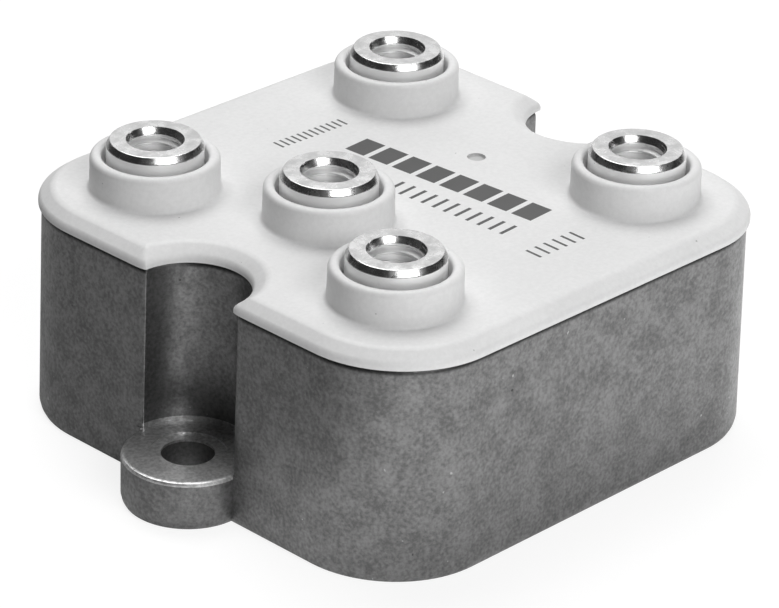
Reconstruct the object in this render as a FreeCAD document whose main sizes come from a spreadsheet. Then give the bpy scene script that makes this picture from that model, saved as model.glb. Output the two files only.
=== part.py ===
import FreeCAD, Part
import math
import os

import Sketcher

# Three-phase bridge rectifier in a die-cast can with a moulded cover and five screw terminals.
# Millimetres. X runs through the two screw ears, Y along the plain sides, Z up from the foot.

SIZES = [
    ("body_length", 51.2, "can along X, at its foot"),
    ("body_width", 51.2, "can along Y, at its foot"),
    ("body_height", 20.4, "can, from the foot to the rim that carries the cover"),
    ("body_corner", 10.0, "radius of the can's four upright corners"),
    ("wall_lean", 0.36, "how far each wall leans in over the can's height"),
    ("wall", 2.0, "can wall at the rim"),
    ("floor_thickness", 4.0, "can floor under the ceramic"),
    ("foot_bevel", 0.3, "bevel round the foot"),
    ("notch_radius", 5.75, "half-round notch above each ear"),
    ("notch_round", 1.0, "rounding of the notch's upright edges"),
    ("ear_inset", 0.3, "hole axis of an ear, inside the face's foot"),
    ("ear_radius", 5.9, "round ear"),
    ("ear_height", 4.7, "ear, from the foot"),
    ("ear_bevel", 0.4, "bevel round the ear's top"),
    ("ear_hole", 4.8, "clearance hole for a fixing screw"),
    ("seat_diameter", 6.9, "spot-faced ring round the hole"),
    ("seat_depth", 0.15, "spot face, below the ear's top"),
    ("cover_plate", 1.55, "cover thickness"),
    ("cover_overhang", 0.3, "cover beyond the can's rim"),
    ("cover_slope", 1.3, "width of the cover's sloped rim"),
    ("cover_drop", 0.95, "height of the cover's sloped rim"),
    ("lip_bevel", 0.35, "bevel between the cover's lip and its sloped rim"),
    ("skirt_wall", 1.2, "locating skirt"),
    ("skirt_gap", 0.2, "between the skirt and the can"),
    ("collar_wall", 1.1, "collar at its foot, outside the hole in it"),
    ("collar_height", 3.3, "collar above the cover"),
    ("collar_lean", 1.0, "degrees by which a collar narrows upwards"),
    ("collar_bevel", 0.4, "bevel round a collar's top"),
    ("bore_gap", 0.4, "between a terminal and the hole in its collar"),
    ("boss_wall", 0.75, "boss below the cover, outside the corners of a terminal's hexagon"),
    ("gate_offset", 10.6, "moulding gate mark, from the centre along X"),
    ("gate_radius", 0.85, "moulding gate mark"),
    ("gate_depth", 0.3, "moulding gate mark"),
    ("terminal_inset_x", 10.17, "corner terminal's axis, inside the foot of an ear side"),
    ("terminal_inset_y", 10.57, "corner terminal's axis, inside the foot of a plain side"),
    ("minus_inset", 17.1, "fifth terminal's axis, inside the foot of the left ear side"),
    ("sleeve_radius", 4.4, "terminal above its hexagon"),
    ("sleeve_height", 6.2, "terminal above its hexagon"),
    ("sleeve_bevel", 0.33, "width of the bevel round a terminal's top"),
    ("sleeve_bevel_height", 0.57, "height of the bevel round a terminal's top"),
    ("hexagon", 11.0, "terminal's hexagon, across flats"),
    ("hexagon_height", 2.5, "terminal's hexagon, and the boss and skirt beside it"),
    ("hexagon_gap", 0.1, "round the hexagon"),
    ("shank_wall", 1.15, "terminal below its hexagon, outside the tapped hole"),
    ("shank_length", 4.0, "terminal below its hexagon"),
    ("tapped_radius", 2.1, "tapped hole, as drilled"),
    ("tapped_sink", 0.55, "width and depth of the tapped hole's countersink"),
    ("tapped_depth", 9.0, "tapped hole, without its drill point"),
    ("ceramic_thickness", 0.6, "insulating plate"),
    ("ceramic_gap_x", 0.55, "between the plate and the notch walls"),
    ("ceramic_gap_y", 2.2, "between the plate and the plain walls"),
    ("track_thickness", 0.8, "copper tracks"),
    ("track_margin", 0.5, "between a track and the plate's edge"),
    ("track_split", 1.0, "between two tracks"),
    ("plus_edge", 8.0, "inner edge of the plus track, from the centre"),
    ("plus_row", 5.0, "dies on the plus track, from its inner edge"),
    ("input_edge", 8.0, "inner edge of the second input's wide end, from the centre"),
    ("die_side", 4.0, "square silicon die"),
    ("die_thickness", 0.4, "silicon die"),
    ("die_bevel", 0.15, "bevelled edge of a die's upper face"),
    ("disc_radius", 1.6, "contact disc on a die"),
    ("disc_thickness", 0.3, "contact disc on a die"),
    ("strip_thickness", 0.6, "bent copper strips"),
    ("strip_bend", 0.5, "inner radius of a bend"),
    ("link_width", 3.0, "input and minus links"),
    ("link_foot", 3.0, "foot of a link"),
    ("link_rise", 2.2, "input link above a contact disc"),
    ("link_margin", 1.0, "between an input link's foot and its track's edge"),
    ("riser_width", 5.0, "risers to the corner terminals"),
    ("riser_foot", 3.0, "foot of a riser"),
    ("bus_thickness", 0.8, "minus bus bar"),
    ("bus_width", 6.5, "minus bus bar"),
    ("bus_overlap", 2.4, "minus bus bar beyond the outer phases"),
    ("gel_gap", 1.1, "between the soft gel and the minus bus bar"),
]

# Each corner terminal's side of the centre, along X and along Y.
CORNER_TERMINALS = {
    "ac_one": ("-", "+"),
    "ac_two": ("+", "+"),
    "ac_three": ("+", "-"),
    "plus": ("-", "-"),
}
PHASES = ["one", "two", "three"]

# Heights and half widths that several pieces share, worked out from the sheet.
FLOOR = "sheet.floor_thickness"
TRACK_FOOT = f"({FLOOR} + sheet.ceramic_thickness)"
TRACK_TOP = f"({TRACK_FOOT} + sheet.track_thickness)"
DISC_FOOT = f"({TRACK_TOP} + sheet.die_thickness)"
DISC_TOP = f"({DISC_FOOT} + sheet.disc_thickness)"
COVER_TOP = "(sheet.body_height + sheet.cover_plate)"
BOSS_FOOT = "(sheet.body_height - sheet.hexagon_height)"
SHANK_FOOT = f"({BOSS_FOOT} - sheet.shank_length)"
BUS_FOOT = f"({SHANK_FOOT} - sheet.bus_thickness)"
GEL_TOP = f"({BUS_FOOT} - sheet.gel_gap)"
EAR_AXIS = "(sheet.body_length / 2 - sheet.ear_inset)"
RIM_LENGTH = "(sheet.body_length - 2 * sheet.wall_lean)"
RIM_WIDTH = "(sheet.body_width - 2 * sheet.wall_lean)"
RIM_CORNER = "(sheet.body_corner - sheet.wall_lean)"
CAVITY_LENGTH = f"({RIM_LENGTH} - 2 * sheet.wall)"
CAVITY_WIDTH = f"({RIM_WIDTH} - 2 * sheet.wall)"
CAVITY_CORNER = f"({RIM_CORNER} - sheet.wall)"
TOWER_RADIUS = "(sheet.notch_radius + sheet.wall)"
CERAMIC_X = f"({EAR_AXIS} - {TOWER_RADIUS} - sheet.ceramic_gap_x)"
CERAMIC_Y = f"({CAVITY_WIDTH} / 2 - sheet.ceramic_gap_y)"
TRACK_X = f"({CERAMIC_X} - sheet.track_margin)"
TRACK_Y = f"({CERAMIC_Y} - sheet.track_margin)"
RISER_END = f"({TRACK_X} - sheet.track_margin)"
RISER_BACK = f"({RISER_END} - sheet.riser_foot)"
INPUT_START = "(-sheet.plus_edge + sheet.track_split)"
PLUS_ROW = "(-sheet.plus_edge - sheet.plus_row)"
TERMINAL_X = "(sheet.body_length / 2 - sheet.terminal_inset_x)"
TERMINAL_Y = "(sheet.body_width / 2 - sheet.terminal_inset_y)"
BORE_RADIUS = "(sheet.sleeve_radius + sheet.bore_gap)"
COLLAR_RADIUS = f"({BORE_RADIUS} + sheet.collar_wall)"
SOCKET = "(sheet.hexagon + 2 * sheet.hexagon_gap)"
BOSS_RADIUS = f"({SOCKET} / 2 / cos(30 deg) + sheet.boss_wall)"
SHANK_RADIUS = "(sheet.tapped_radius + sheet.shank_wall)"
CLOSE = 0.001

doc = FreeCAD.newDocument("bridge_rectifier")


# The sheet of driving sizes

def make_sheet():
    sheet = doc.addObject("Spreadsheet::Sheet", "sheet")
    for row, (alias, size, meaning) in enumerate(SIZES, start=1):
        sheet.set(f"A{row}", alias)
        sheet.set(f"B{row}", str(size))
        sheet.set(f"C{row}", meaning)
        sheet.setAlias(f"B{row}", alias)
    doc.recompute()
    return sheet


sheet = make_sheet()


def value(expression):
    result = sheet.evalExpression(str(expression).replace("sheet.", ""))
    return float(getattr(result, "Value", result))


# Bodies, sketches and features

def new_body(name):
    body = doc.addObject("PartDesign::Body", name)
    body.Label = name
    return body


def new_sketch(body, name, role="XY_Plane", offset=None):
    sketch = body.newObject("Sketcher::SketchObject", name)
    plane = next(item for item in body.Origin.OriginFeatures if item.Role == role)
    sketch.AttachmentSupport = [(plane, "")]
    sketch.MapMode = "FlatFace"
    if offset is not None:
        sketch.setExpression("AttachmentOffset.Base.z", offset)
    return sketch


def constrain(sketch, kind, *where):
    return sketch.addConstraint(Sketcher.Constraint(kind, *where))


def measure(sketch, kind, expression, *where):
    index = sketch.addConstraint(Sketcher.Constraint(kind, *where, value(expression)))
    sketch.setExpression(f"Constraints[{index}]", str(expression))


def add_line(sketch, start, end):
    return sketch.addGeometry(Part.LineSegment(FreeCAD.Vector(*start), FreeCAD.Vector(*end)))


def add_arc(sketch, centre, radius, start, end):
    circle = Part.Circle(FreeCAD.Vector(*centre), FreeCAD.Vector(0, 0, 1), radius)
    return sketch.addGeometry(Part.ArcOfCircle(circle, math.radians(start), math.radians(end)))


def polygon(sketch, points):
    """Closed outline whose corners are tied one by one to expressions."""
    numbers = [(value(x), value(y), 0) for x, y in points]
    lines = [add_line(sketch, numbers[i - 1], numbers[i]) for i in range(len(points))]
    for i, line in enumerate(lines):
        constrain(sketch, "Coincident", lines[i - 1], 2, line, 1)
    for line, (x, y) in zip(lines, points):
        for kind, expression in (("DistanceX", x), ("DistanceY", y)):
            measure(sketch, kind, expression, -1, 1, line, 2)


def circle_at(sketch, x, y, radius):
    centre = FreeCAD.Vector(value(x), value(y), 0)
    circle = sketch.addGeometry(Part.Circle(centre, FreeCAD.Vector(0, 0, 1), value(radius)))
    measure(sketch, "DistanceX", x, -1, 1, circle, 3)
    measure(sketch, "DistanceY", y, -1, 1, circle, 3)
    measure(sketch, "Radius", radius, circle)


def rounded_rectangle(sketch, length, width, corner):
    x, y, r = value(length) / 2, value(width) / 2, value(corner)
    sides = [
        add_line(sketch, (r - x, -y), (x - r, -y)),
        add_line(sketch, (x, r - y), (x, y - r)),
        add_line(sketch, (x - r, y), (r - x, y)),
        add_line(sketch, (-x, y - r), (-x, r - y)),
    ]
    centres = [(x - r, r - y), (x - r, y - r), (r - x, y - r), (r - x, r - y)]
    arcs = [add_arc(sketch, centre, r, 90 * i - 90, 90 * i) for i, centre in enumerate(centres)]
    for i, arc in enumerate(arcs):
        constrain(sketch, "Tangent", sides[i], 2, arc, 1)
        constrain(sketch, "Tangent", arc, 2, sides[(i + 1) % 4], 1)
    for side, kind in zip(sides, ("Horizontal", "Vertical", "Horizontal", "Vertical")):
        constrain(sketch, kind, side)
    for arc in arcs[1:]:
        constrain(sketch, "Equal", arcs[0], arc)
    constrain(sketch, "Symmetric", arcs[3], 3, arcs[1], 3, -1, 1)
    measure(sketch, "Radius", corner, arcs[0])
    measure(sketch, "DistanceX", length, sides[3], 1, sides[1], 1)
    measure(sketch, "DistanceY", width, sides[0], 1, sides[2], 1)


def notched_rectangle(sketch, length, width, corner, notch):
    """Rounded rectangle with a circular bite round each ear's axis."""
    x, y, r = value(length) / 2, value(width) / 2, value(corner)
    axis, bite = value(EAR_AXIS), value(notch)
    half = math.sqrt(bite ** 2 - (axis - x) ** 2)
    mouth = math.degrees(math.atan2(half, x - axis))
    front = add_line(sketch, (r - x, -y), (x - r, -y))
    right_low = add_line(sketch, (x, r - y), (x, -half))
    right_high = add_line(sketch, (x, half), (x, y - r))
    back = add_line(sketch, (x - r, y), (r - x, y))
    left_high = add_line(sketch, (-x, y - r), (-x, half))
    left_low = add_line(sketch, (-x, -half), (-x, r - y))
    centres = [(x - r, r - y), (x - r, y - r), (r - x, y - r), (r - x, r - y)]
    arcs = [add_arc(sketch, centre, r, 90 * i - 90, 90 * i) for i, centre in enumerate(centres)]
    right_bite = add_arc(sketch, (axis, 0), bite, mouth, 360 - mouth)
    left_bite = add_arc(sketch, (-axis, 0), bite, mouth - 180, 180 - mouth)
    joints = [
        (front, arcs[0], right_low),
        (right_high, arcs[1], back),
        (back, arcs[2], left_high),
        (left_low, arcs[3], front),
    ]
    for before, arc, after in joints:
        constrain(sketch, "Tangent", before, 2, arc, 1)
        constrain(sketch, "Tangent", arc, 2, after, 1)
    constrain(sketch, "Coincident", right_low, 2, right_bite, 2)
    constrain(sketch, "Coincident", right_bite, 1, right_high, 1)
    constrain(sketch, "Coincident", left_high, 2, left_bite, 2)
    constrain(sketch, "Coincident", left_bite, 1, left_low, 1)
    for side in (front, back):
        constrain(sketch, "Horizontal", side)
    for side in (right_low, right_high, left_high, left_low):
        constrain(sketch, "Vertical", side)
    for arc in arcs[1:]:
        constrain(sketch, "Equal", arcs[0], arc)
    constrain(sketch, "Equal", right_bite, left_bite)
    constrain(sketch, "Vertical", arcs[0], 3, arcs[1], 3)
    constrain(sketch, "Vertical", arcs[2], 3, arcs[3], 3)
    constrain(sketch, "Symmetric", arcs[3], 3, arcs[1], 3, -1, 1)
    constrain(sketch, "PointOnObject", right_bite, 3, -1)
    constrain(sketch, "PointOnObject", left_bite, 3, -1)
    measure(sketch, "DistanceX", EAR_AXIS, -1, 1, right_bite, 3)
    measure(sketch, "DistanceX", EAR_AXIS, left_bite, 3, -1, 1)
    measure(sketch, "Radius", notch, right_bite)
    measure(sketch, "Radius", corner, arcs[0])
    measure(sketch, "DistanceX", length, left_low, 2, right_low, 1)
    measure(sketch, "DistanceY", width, front, 1, back, 1)


def pad(body, sketch, length, name, down=False, both=False, taper=None):
    feature = body.newObject("PartDesign::Pad", name)
    feature.Profile = sketch
    feature.setExpression("Length", length)
    feature.Reversed = down
    if both:
        feature.SideType = "Symmetric"
    if taper is not None:
        feature.setExpression("TaperAngle", taper)
    return feature


def pocket(body, sketch, name, depth=None, up=False):
    feature = body.newObject("PartDesign::Pocket", name)
    feature.Profile = sketch
    if depth is None:
        feature.Type = "ThroughAll"
    else:
        feature.setExpression("Length", depth)
    feature.Reversed = up
    return feature


def edges_of(feature, chosen):
    shape = feature.Shape
    return [f"Edge{i}" for i, edge in enumerate(shape.Edges, start=1) if chosen(edge)]


def level_at(edge, height):
    box = edge.BoundBox
    return abs(box.ZMin - height) < CLOSE and abs(box.ZMax - height) < CLOSE


def dress(body, kind, base, chosen, size, name):
    doc.recompute()
    feature = body.newObject(f"PartDesign::{kind}", name)
    feature.Base = (base, edges_of(base, chosen))
    feature.setExpression("Radius" if kind == "Fillet" else "Size", size)
    return feature


# Case: one casting with two ears, two notches and an open top

def make_case():
    body = new_body("case")
    outline = new_sketch(body, "case_outline")
    rounded_rectangle(outline, "sheet.body_length", "sheet.body_width", "sheet.body_corner")
    lean = "-atan(sheet.wall_lean / sheet.body_height)"
    pad(body, outline, "sheet.body_height", "case_block", taper=lean)

    notches = new_sketch(body, "case_notches", offset="sheet.ear_height")
    for side in ("-", ""):
        circle_at(notches, side + EAR_AXIS, 0, "sheet.notch_radius")
    cut = pocket(body, notches, "case_notch_cuts", up=True)

    low = value("sheet.ear_height")
    face = value(RIM_LENGTH) / 2
    straight = value("sheet.body_width") / 2 - value("sheet.body_corner")

    def notch_upright(edge):
        """The four edges where the ear sides turn into their notches."""
        box = edge.BoundBox
        on_side = min(abs(box.XMin), abs(box.XMax)) > face - CLOSE
        beside_notch = max(abs(box.YMin), abs(box.YMax)) < straight - CLOSE
        return on_side and beside_notch and box.ZMin > low - CLOSE and box.ZLength > CLOSE

    dress(body, "Fillet", cut, notch_upright, "sheet.notch_round", "case_notch_rounds")

    ears = new_sketch(body, "case_ears")
    for side in ("-", ""):
        circle_at(ears, side + EAR_AXIS, 0, "sheet.ear_radius")
    discs = pad(body, ears, "sheet.ear_height", "case_ear_discs")

    def ear_rim(edge):
        if not isinstance(edge.Curve, Part.Circle) or not level_at(edge, low):
            return False
        return abs(edge.Curve.Radius - value("sheet.ear_radius")) < CLOSE

    topped = dress(body, "Chamfer", discs, ear_rim, "sheet.ear_bevel", "case_ear_bevels")
    dress(body, "Chamfer", topped, lambda edge: level_at(edge, 0), "sheet.foot_bevel",
          "case_foot_bevel")

    cavity = new_sketch(body, "case_cavity", offset=FLOOR)
    notched_rectangle(cavity, CAVITY_LENGTH, CAVITY_WIDTH, CAVITY_CORNER, TOWER_RADIUS)
    pocket(body, cavity, "case_hollow", up=True)

    seats = new_sketch(body, "case_screw_seats", offset="sheet.ear_height")
    holes = new_sketch(body, "case_screw_holes", offset="sheet.ear_height")
    for side in ("-", ""):
        circle_at(seats, side + EAR_AXIS, 0, "sheet.seat_diameter / 2")
        circle_at(holes, side + EAR_AXIS, 0, "sheet.ear_hole / 2")
    pocket(body, seats, "case_seat_cuts", depth="sheet.seat_depth")
    pocket(body, holes, "case_hole_cuts")
    return body


# Cover: one moulding with collars above, hexagonal sockets and a locating skirt below

def terminal_places():
    places = {name: (f"({x}{TERMINAL_X})", f"({y}{TERMINAL_Y})")
              for name, (x, y) in CORNER_TERMINALS.items()}
    places["minus"] = ("(sheet.minus_inset - sheet.body_length / 2)", "0")
    return places


def hexagon(sketch, centre, across):
    x, y = centre
    corner = f"{across} / 2 / cos(30 deg)"
    polygon(sketch, [(f"{x} + {corner} * cos({60 * i} deg)", f"{y} + {corner} * sin({60 * i} deg)")
                     for i in range(6)])


def notch_section(body, name, side):
    """Half section of the cover's notch: an upright lip, a bevel and the rim's slope."""
    sketch = new_sketch(body, name, role="XZ_Plane")
    sketch.setExpression("AttachmentOffset.Base.x", side + EAR_AXIS)
    mouth = "(sheet.notch_radius - sheet.cover_overhang)"
    rise = "atan(sheet.cover_drop / sheet.cover_slope)"
    knee = f"({COVER_TOP} - sheet.cover_drop)"
    polygon(sketch, [
        ("0", "sheet.body_height"),
        (mouth, "sheet.body_height"),
        (mouth, f"{knee} - sheet.lip_bevel"),
        (f"{mouth} + sheet.lip_bevel * cos({rise})", f"{knee} + sheet.lip_bevel * sin({rise})"),
        (f"{mouth} + sheet.cover_slope", COVER_TOP),
        ("0", COVER_TOP),
    ])
    return sketch


def make_cover():
    body = new_body("cover")
    plate = new_sketch(body, "cover_outline", offset="sheet.body_height")
    rounded_rectangle(
        plate,
        f"({RIM_LENGTH} + 2 * sheet.cover_overhang)",
        f"({RIM_WIDTH} + 2 * sheet.cover_overhang)",
        f"({RIM_CORNER} + sheet.cover_overhang)",
    )
    slab = pad(body, plate, "sheet.cover_plate", "cover_slab")

    top = value(COVER_TOP)
    slope = dress(body, "Chamfer", slab, lambda edge: level_at(edge, top), "sheet.cover_drop",
                  "cover_slope")
    slope.ChamferType = "Two distances"
    slope.setExpression("Size2", "sheet.cover_slope")
    lip = top - value("sheet.cover_drop")
    dress(body, "Chamfer", slope, lambda edge: level_at(edge, lip), "sheet.lip_bevel",
          "cover_lip_bevel")
    for end, side in (("left", "-"), ("right", "")):
        notch = body.newObject("PartDesign::Groove", f"cover_notch_{end}")
        notch.Profile = notch_section(body, f"cover_notch_section_{end}", side)
        notch.ReferenceAxis = (notch.Profile[0], ["V_Axis"])
        notch.Angle = 360

    collars = new_sketch(body, "cover_collars", offset=COVER_TOP)
    bosses = new_sketch(body, "cover_bosses", offset="sheet.body_height")
    sockets = new_sketch(body, "cover_sockets", offset=BOSS_FOOT)
    bores = new_sketch(body, "cover_bores", offset=COVER_TOP)
    for place in terminal_places().values():
        circle_at(collars, *place, COLLAR_RADIUS)
        circle_at(bosses, *place, BOSS_RADIUS)
        circle_at(bores, *place, BORE_RADIUS)
        hexagon(sockets, place, SOCKET)
    rings = pad(body, collars, "sheet.collar_height", "cover_collar_rings",
                taper="-sheet.collar_lean * 1 deg")

    crown = value(f"{COVER_TOP} + sheet.collar_height")
    dress(body, "Chamfer", rings, lambda edge: level_at(edge, crown), "sheet.collar_bevel",
          "cover_collar_bevels")
    pad(body, bosses, "sheet.hexagon_height", "cover_boss_discs", down=True)

    skirt = new_sketch(body, "cover_skirt", offset="sheet.body_height")
    for inset in ("sheet.skirt_gap", "(sheet.skirt_gap + sheet.skirt_wall)"):
        notched_rectangle(
            skirt,
            f"{CAVITY_LENGTH} - 2 * {inset}",
            f"{CAVITY_WIDTH} - 2 * {inset}",
            f"{CAVITY_CORNER} - {inset}",
            f"{TOWER_RADIUS} + {inset}",
        )
    pad(body, skirt, "sheet.hexagon_height", "cover_skirt_ring", down=True)
    pocket(body, sockets, "cover_socket_cuts", depth="sheet.hexagon_height", up=True)
    pocket(body, bores, "cover_bores_below")
    pocket(body, bores, "cover_bores_above", up=True)

    gate = new_sketch(body, "cover_gate", offset=COVER_TOP)
    circle_at(gate, "sheet.gate_offset", 0, "sheet.gate_radius")
    pocket(body, gate, "cover_gate_mark", depth="sheet.gate_depth")
    return body


# Terminals: turned from hexagon bar, tapped from above

def make_terminal(name, place):
    body = new_body(f"terminal_{name}")
    half = new_sketch(body, f"{body.Name}_section", role="XZ_Plane")
    crown = "sheet.sleeve_height"
    bottom = f"{crown} - sheet.tapped_depth"
    foot = "-sheet.hexagon_height - sheet.shank_length"
    polygon(half, [
        ("0", foot),
        (SHANK_RADIUS, foot),
        (SHANK_RADIUS, "-sheet.hexagon_height"),
        ("sheet.sleeve_radius", "-sheet.hexagon_height"),
        ("sheet.sleeve_radius", f"{crown} - sheet.sleeve_bevel_height"),
        ("sheet.sleeve_radius - sheet.sleeve_bevel", crown),
        ("sheet.tapped_radius + sheet.tapped_sink", crown),
        ("sheet.tapped_radius", f"{crown} - sheet.tapped_sink"),
        ("sheet.tapped_radius", bottom),
        ("0", f"{bottom} - sheet.tapped_radius * tan(30 deg)"),
    ])
    turning = body.newObject("PartDesign::Revolution", f"{body.Name}_turning")
    turning.Profile = half
    turning.ReferenceAxis = (half, ["V_Axis"])
    turning.Angle = 360
    bar = new_sketch(body, f"{body.Name}_bar")
    hexagon(bar, ("0", "0"), "sheet.hexagon")
    circle_at(bar, 0, 0, SHANK_RADIUS)
    pad(body, bar, "sheet.hexagon_height", f"{body.Name}_hexagon", down=True)
    x, y = place
    body.setExpression("Placement.Base.x", x)
    body.setExpression("Placement.Base.y", y)
    body.setExpression("Placement.Base.z", "sheet.body_height")
    return body


# Ceramic plate, copper tracks, dies and their contact discs

def phase_x(step):
    """Three phases and the third input's leg share the width between the risers in four bays."""
    return f"(({step} - 1.5) * {RISER_BACK} / 2)"


def make_plate(name, points, foot, thickness):
    body = new_body(name)
    outline = new_sketch(body, f"{name}_outline", offset=foot)
    polygon(outline, points)
    pad(body, outline, thickness, f"{name}_sheet")
    return body


def make_ceramic():
    corners = [(f"{x} * {CERAMIC_X}", f"{y} * {CERAMIC_Y}")
               for x, y in ((-1, -1), (1, -1), (1, 1), (-1, 1))]
    return make_plate("ceramic_plate", corners, FLOOR, "sheet.ceramic_thickness")


def make_tracks():
    """Four tracks whose gaps run midway between two phases, and beside the plus track."""
    left, right = f"-{TRACK_X}", TRACK_X
    front, back = f"-{TRACK_Y}", TRACK_Y
    first_gap, second_gap = phase_x(0.5), phase_x(1.5)
    first_end = f"{first_gap} - sheet.track_split / 2"
    second_start = f"{first_gap} + sheet.track_split / 2"
    second_end = f"{second_gap} - sheet.track_split / 2"
    third_start = f"{second_gap} + sheet.track_split / 2"
    third_edge = "sheet.input_edge - sheet.track_split"
    plus_end = f"({phase_x(2)} + sheet.die_side / 2 + sheet.track_margin)"
    leg_start = f"{plus_end} + sheet.track_split"
    outlines = {
        "ac_one": [
            (left, INPUT_START),
            (first_end, INPUT_START),
            (first_end, back),
            (left, back),
        ],
        "ac_two": [
            (second_start, INPUT_START),
            (second_end, INPUT_START),
            (second_end, "sheet.input_edge"),
            (right, "sheet.input_edge"),
            (right, back),
            (second_start, back),
        ],
        "ac_three": [
            (third_start, INPUT_START),
            (leg_start, INPUT_START),
            (leg_start, front),
            (right, front),
            (right, third_edge),
            (third_start, third_edge),
        ],
        "plus": [
            (left, front),
            (plus_end, front),
            (plus_end, "-sheet.plus_edge"),
            (left, "-sheet.plus_edge"),
        ],
    }
    return [make_plate(f"track_{name}", points, TRACK_FOOT, "sheet.track_thickness")
            for name, points in outlines.items()]


def make_diode(name, x, y):
    body = new_body(f"diode_{name}")
    outline = new_sketch(body, f"{body.Name}_outline", offset=TRACK_TOP)
    half = "sheet.die_side / 2"
    polygon(outline, [(f"{x} {sx} {half}", f"{y} {sy} {half}")
                      for sx, sy in (("-", "-"), ("+", "-"), ("+", "+"), ("-", "+"))])
    wafer = pad(body, outline, "sheet.die_thickness", f"{body.Name}_wafer")
    top = value(DISC_FOOT)
    dress(body, "Chamfer", wafer, lambda edge: level_at(edge, top), "sheet.die_bevel",
          f"{body.Name}_bevel")
    return body


def make_disc(name, x, y):
    disc = doc.addObject("Part::Cylinder", f"disc_{name}")
    disc.Label = disc.Name
    disc.setExpression("Radius", "sheet.disc_radius")
    disc.setExpression("Height", "sheet.disc_thickness")
    disc.setExpression("Placement.Base.x", x)
    disc.setExpression("Placement.Base.y", y)
    disc.setExpression("Placement.Base.z", DISC_FOOT)
    return disc


# Bent copper strips: a side view, made as wide as the strip

def make_strip(name, points, bends, width, place, turn=0):
    """A strip from its side view; each bend is the number of its inner and of its outer corner."""
    body = new_body(name)
    side = new_sketch(body, f"{name}_side", role="XZ_Plane")
    polygon(side, points)
    strip = pad(body, side, width, f"{name}_strip", both=True)

    def at_bend(edge, corners):
        box = edge.BoundBox
        if box.YLength < CLOSE:
            return False
        return any(math.dist((box.XMin, box.ZMin), corner) < CLOSE for corner in corners)

    inner = [(value(points[i][0]), value(points[i][1])) for i, _ in bends]
    outer = [(value(points[i][0]), value(points[i][1])) for _, i in bends]
    soft = dress(body, "Fillet", strip, lambda edge: at_bend(edge, inner), "sheet.strip_bend",
                 f"{name}_inner_bends")
    dress(body, "Fillet", soft, lambda edge: at_bend(edge, outer),
          "sheet.strip_bend + sheet.strip_thickness", f"{name}_outer_bends")
    x, y = place
    body.setExpression("Placement.Base.x", x)
    body.setExpression("Placement.Base.y", y)
    body.Placement.Rotation = FreeCAD.Rotation(FreeCAD.Vector(0, 0, 1), turn)
    return body


def bracket(back, foot_end, tab_end, foot, top):
    """Side view of a strip with a foot below and a tab above, both on one side of its back."""
    t = "sheet.strip_thickness"
    points = [
        (back, foot),
        (foot_end, foot),
        (foot_end, f"{foot} + {t}"),
        (f"{back} + {t}", f"{foot} + {t}"),
        (f"{back} + {t}", f"{top} - {t}"),
        (tab_end, f"{top} - {t}"),
        (tab_end, top),
        (back, top),
    ]
    return points, [(3, 0), (4, 7)]


def make_riser(name, x_side, y_side):
    tab_end = f"({TERMINAL_X} + {SHANK_RADIUS})"
    points, bends = bracket(RISER_BACK, RISER_END, tab_end, TRACK_TOP, SHANK_FOOT)
    place = ("0", f"{y_side}{TERMINAL_Y}")
    turn = 180 if x_side == "-" else 0
    return make_strip(f"riser_{name}", points, bends, "sheet.riser_width", place, turn)


def make_minus_link(name, step):
    back = "(-sheet.disc_radius)"
    reach = f"({back} + sheet.link_foot)"
    points, bends = bracket(back, reach, reach, DISC_TOP, BUS_FOOT)
    place = (phase_x(step), "0")
    return make_strip(f"minus_link_{name}", points, bends, "sheet.link_width", place)


def make_input_link(name, step):
    """Bridge strip from a plus-side disc, over the gap between the tracks, to the input track."""
    t = "sheet.strip_thickness"
    disc_start = f"({PLUS_ROW} - sheet.link_foot / 2)"
    disc_end = f"({PLUS_ROW} + sheet.link_foot / 2)"
    track_start = f"({INPUT_START} + sheet.link_margin)"
    track_end = f"({track_start} + sheet.link_foot)"
    crest = f"({DISC_TOP} + sheet.link_rise)"
    points = [
        (disc_start, DISC_TOP),
        (disc_end, DISC_TOP),
        (disc_end, crest),
        (track_start, crest),
        (track_start, TRACK_TOP),
        (track_end, TRACK_TOP),
        (track_end, f"{TRACK_TOP} + {t}"),
        (f"{track_start} + {t}", f"{TRACK_TOP} + {t}"),
        (f"{track_start} + {t}", f"{crest} + {t}"),
        (f"{disc_end} - {t}", f"{crest} + {t}"),
        (f"{disc_end} - {t}", f"{DISC_TOP} + {t}"),
        (disc_start, f"{DISC_TOP} + {t}"),
    ]
    bends = [(10, 1), (2, 9), (3, 8), (7, 4)]
    place = (phase_x(step), "0")
    return make_strip(f"input_link_{name}", points, bends, "sheet.link_width", place, 90)


def make_bus():
    ends = (f"{phase_x(0)} - sheet.bus_overlap", f"{phase_x(2)} + sheet.bus_overlap")
    half = "sheet.bus_width / 2"
    corners = [(ends[0], f"-{half}"), (ends[1], f"-{half}"), (ends[1], half), (ends[0], half)]
    return make_plate("minus_bus", corners, BUS_FOOT, "sheet.bus_thickness")


# Fillings: the can's inside between two heights, less every piece that stands in it

def make_shank_room(name, place):
    """The round room that a terminal's shank, with its blind hole, takes in the casting resin."""
    room = doc.addObject("Part::Cylinder", f"shank_room_{name}")
    room.setExpression("Radius", SHANK_RADIUS)
    room.setExpression("Height", "sheet.shank_length")
    x, y = place
    room.setExpression("Placement.Base.x", x)
    room.setExpression("Placement.Base.y", y)
    room.setExpression("Placement.Base.z", SHANK_FOOT)
    return room


def make_filling(name, foot, height, standing):
    block = new_body(f"{name}_block")
    outline = new_sketch(block, f"{name}_outline", offset=foot)
    notched_rectangle(outline, CAVITY_LENGTH, CAVITY_WIDTH, CAVITY_CORNER, TOWER_RADIUS)
    pad(block, outline, height, f"{name}_fill")
    pieces = doc.addObject("Part::MultiFuse", f"{name}_pieces")
    pieces.Shapes = standing
    filling = doc.addObject("Part::Cut", name)
    filling.Label = name
    filling.Base = block
    filling.Tool = pieces
    return filling


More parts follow.
